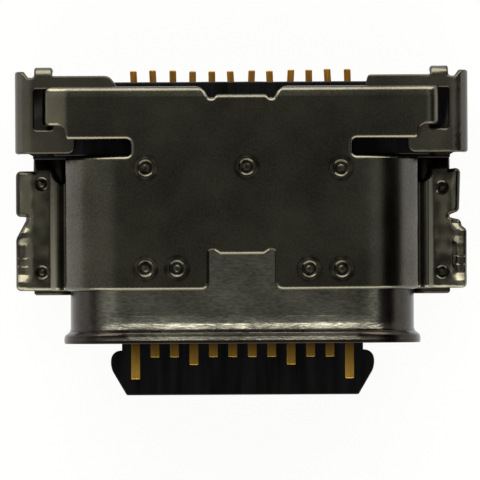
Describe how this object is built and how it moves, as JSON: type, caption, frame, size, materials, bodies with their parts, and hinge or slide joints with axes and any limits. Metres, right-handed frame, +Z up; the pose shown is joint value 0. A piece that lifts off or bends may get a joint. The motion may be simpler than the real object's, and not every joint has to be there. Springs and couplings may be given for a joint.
{
  "type": "charging port",
  "caption": "Sunk-in board receptacle with a contact tongue standing out of a drawn oval shell, welded sheet covers with solder wings, a rear bracket and rows of solder tails.",
  "frame": {"origin": "middle of the footprint, on the surface that the port rests on", "axes": "+X across the mouth, +Y from the mouth towards the solder tails, +Z up, away from the board"},
  "size_m": [0.0116, 0.0084, 0.0034],
  "materials": {
    "cover_steel": "dull rolled stainless sheet",
    "shell_steel": "drawn stainless, fine grain along the draw",
    "bracket_steel": "dull rolled stainless sheet",
    "plate_steel": "plain stainless sheet",
    "black_moulding": "black liquid-crystal polymer, matte",
    "gold_plating": "gold-plated copper alloy"
  },
  "bodies": {
    "root": {"front_shell": "shell_steel", "top_cover": "cover_steel", "bottom_cover": "cover_steel", "rear_bracket": "bracket_steel", "insulator": "black_moulding", "mid_plate": "plate_steel", "upper_ground_plate": "plate_steel", "lower_ground_plate": "plate_steel", "upper_contact_01": "gold_plating", "upper_contact_02": "gold_plating", "upper_contact_03": "gold_plating", "upper_contact_04": "gold_plating", "upper_contact_05": "gold_plating", "upper_contact_06": "gold_plating", "upper_contact_07": "gold_plating", "upper_contact_08": "gold_plating", "upper_contact_09": "gold_plating", "upper_contact_10": "gold_plating", "upper_contact_11": "gold_plating", "upper_contact_12": "gold_plating", "lower_contact_01": "gold_plating", "lower_contact_02": "gold_plating", "lower_contact_03": "gold_plating", "lower_contact_04": "gold_plating", "lower_contact_05": "gold_plating", "lower_contact_06": "gold_plating", "lower_contact_07": "gold_plating", "lower_contact_08": "gold_plating", "lower_contact_09": "gold_plating", "lower_contact_10": "gold_plating", "lower_contact_11": "gold_plating", "lower_contact_12": "gold_plating"}
  },
  "joints": []
}
